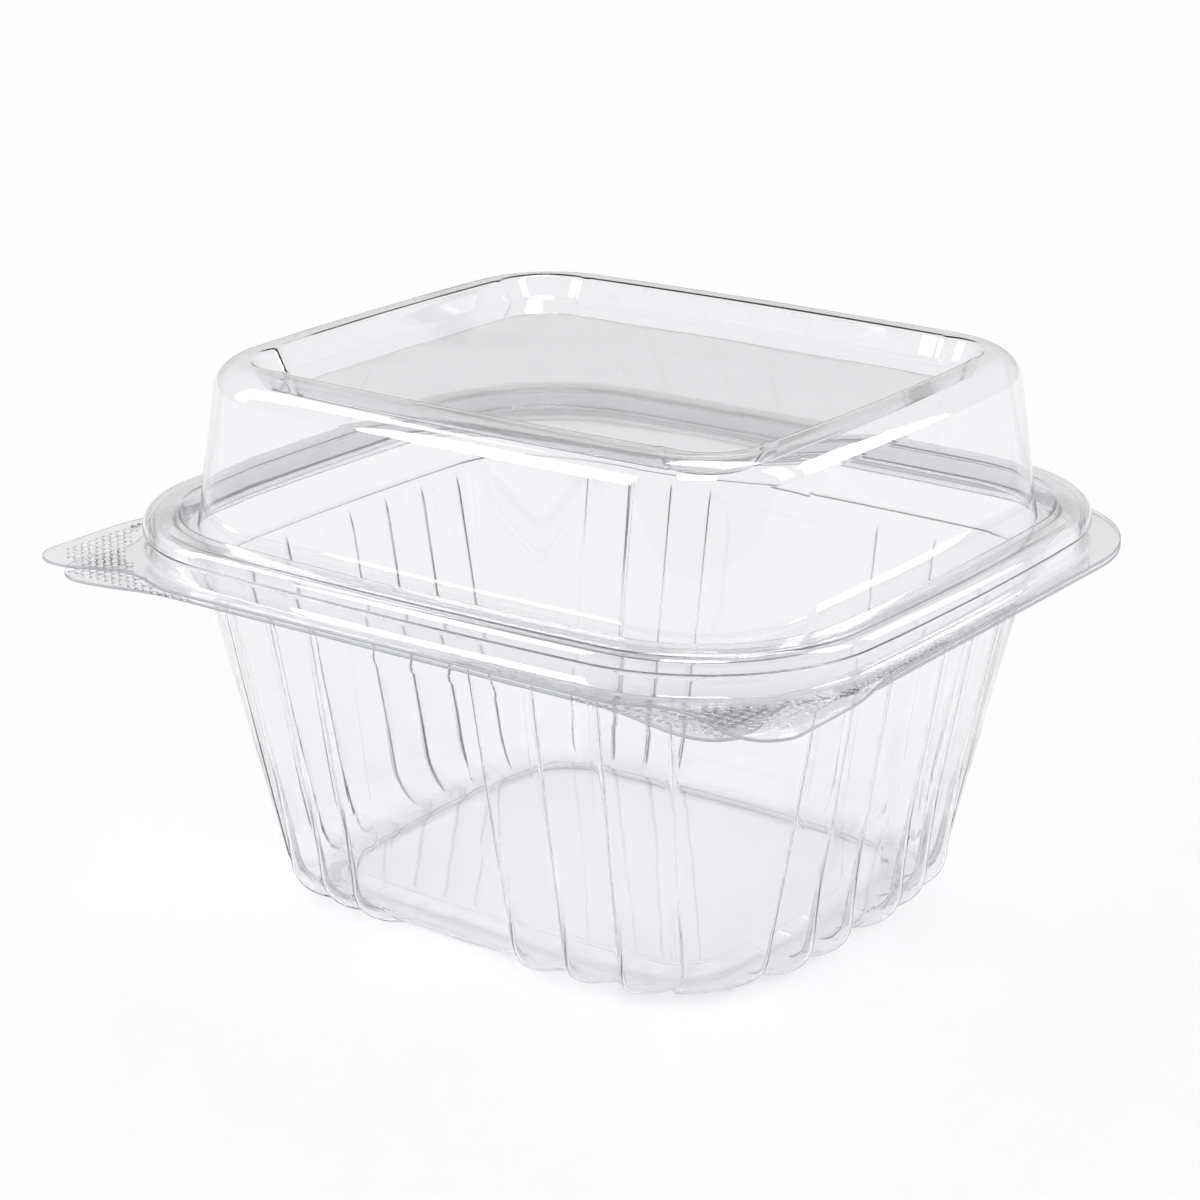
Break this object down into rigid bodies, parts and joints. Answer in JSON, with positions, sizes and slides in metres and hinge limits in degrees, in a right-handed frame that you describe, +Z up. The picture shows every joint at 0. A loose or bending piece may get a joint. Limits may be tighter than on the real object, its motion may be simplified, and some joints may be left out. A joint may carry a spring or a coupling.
{
  "type": "hinged clamshell pack",
  "caption": "Clear plastic clamshell pack with a fluted rectangular tray and a hinged raised dome lid, with lifting tabs at the front corners.",
  "frame": {"origin": "middle of the closed pack's footprint, tabs included, on the table under the tray", "axes": "+X along the front side to the right as seen from the front, +Y from the front to the hinge at the back, +Z up"},
  "size_m": [0.1546, 0.139, 0.0967],
  "materials": {
    "clear_sheet_tray": "clear gloss sheet",
    "clear_sheet_lid": "clear gloss sheet"
  },
  "bodies": {
    "tray": {"tray": "clear_sheet_tray"},
    "lid": {"lid": "clear_sheet_lid"}
  },
  "joints": [
    {"name": "lid_hinge", "type": "hinge", "parent": "tray", "child": "lid", "pos_m": [0, 0.06965, 0.06267], "axis": [-1, 0, 0], "range_deg": [0, 180]}
  ]
}
